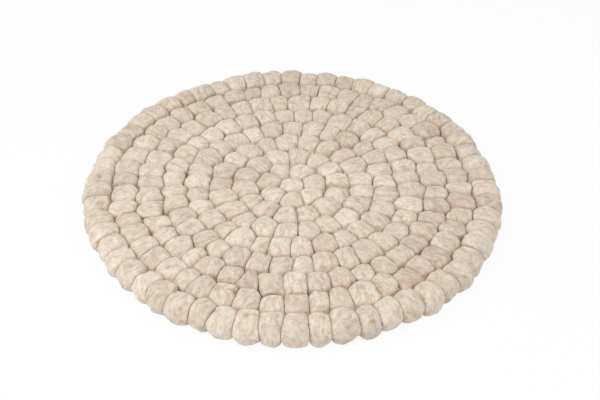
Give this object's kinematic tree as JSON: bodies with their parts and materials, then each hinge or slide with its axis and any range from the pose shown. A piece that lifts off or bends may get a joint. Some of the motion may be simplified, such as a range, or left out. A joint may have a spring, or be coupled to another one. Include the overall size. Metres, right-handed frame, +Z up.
{
  "type": "felt ball mat",
  "caption": "Round mat of undyed wool felt balls, threaded in closed rounds about a centre ball and sewn together, one ball thick.",
  "frame": {"origin": "under the middle of the centre ball, on the plane of the balls' flat feet", "axes": "+Z up through the centre ball, square to the mat; the front of the mat is towards -Y, and round 1's first ball lies there"},
  "size_m": [0.3574, 0.3574, 0.022],
  "materials": {
    "wool_cream": "matte",
    "wool_oatmeal": "matte",
    "wool_beige": "matte",
    "wool_grey": "matte",
    "cotton_thread": "matte"
  },
  "bodies": {
    "root": {"centre_ball": "wool_cream", "cross_thread_1": "cotton_thread", "cross_thread_2": "cotton_thread", "cross_thread_3": "cotton_thread", "cross_thread_4": "cotton_thread", "round_1_cream_balls": "wool_cream", "round_1_grey_balls": "wool_grey", "round_1_oatmeal_balls": "wool_oatmeal", "round_1_string": "cotton_thread", "round_2_beige_balls": "wool_beige", "round_2_cream_balls": "wool_cream", "round_2_grey_balls": "wool_grey", "round_2_oatmeal_balls": "wool_oatmeal", "round_2_string": "cotton_thread", "round_3_beige_balls": "wool_beige", "round_3_cream_balls": "wool_cream", "round_3_grey_balls": "wool_grey", "round_3_oatmeal_balls": "wool_oatmeal", "round_3_string": "cotton_thread", "round_4_beige_balls": "wool_beige", "round_4_cream_balls": "wool_cream", "round_4_grey_balls": "wool_grey", "round_4_oatmeal_balls": "wool_oatmeal", "round_4_string": "cotton_thread", "round_5_beige_balls": "wool_beige", "round_5_cream_balls": "wool_cream", "round_5_grey_balls": "wool_grey", "round_5_oatmeal_balls": "wool_oatmeal", "round_5_string": "cotton_thread", "round_6_beige_balls": "wool_beige", "round_6_cream_balls": "wool_cream", "round_6_grey_balls": "wool_grey", "round_6_oatmeal_balls": "wool_oatmeal", "round_6_string": "cotton_thread", "round_7_beige_balls": "wool_beige", "round_7_cream_balls": "wool_cream", "round_7_grey_balls": "wool_grey", "round_7_oatmeal_balls": "wool_oatmeal", "round_7_string": "cotton_thread", "round_8_beige_balls": "wool_beige", "round_8_cream_balls": "wool_cream", "round_8_grey_balls": "wool_grey", "round_8_oatmeal_balls": "wool_oatmeal", "round_8_string": "cotton_thread"}
  },
  "joints": []
}
